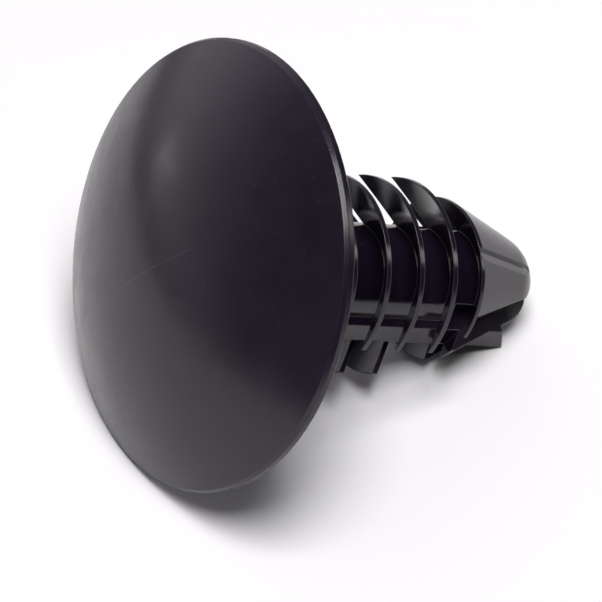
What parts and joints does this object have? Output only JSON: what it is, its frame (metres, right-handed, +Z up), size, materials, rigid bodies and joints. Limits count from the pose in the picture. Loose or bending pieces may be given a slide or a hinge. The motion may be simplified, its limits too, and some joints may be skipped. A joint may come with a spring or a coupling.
{
  "type": "push rivet",
  "caption": "One-piece black nylon push rivet with a wide domed head, swept half fins in two staggered rows, a thin rib between them and a blunt split nose.",
  "frame": {"origin": "on the table, under the middle of the rivet as it lies on the edge of its head and its nose", "axes": "+Z up from the table; the shank points along +X and down to the table; +Y completes the frame"},
  "size_m": [0.0264, 0.025, 0.0227],
  "materials": {
    "black_nylon": "satin"
  },
  "bodies": {
    "root": {"push_rivet": "black_nylon"}
  },
  "joints": []
}
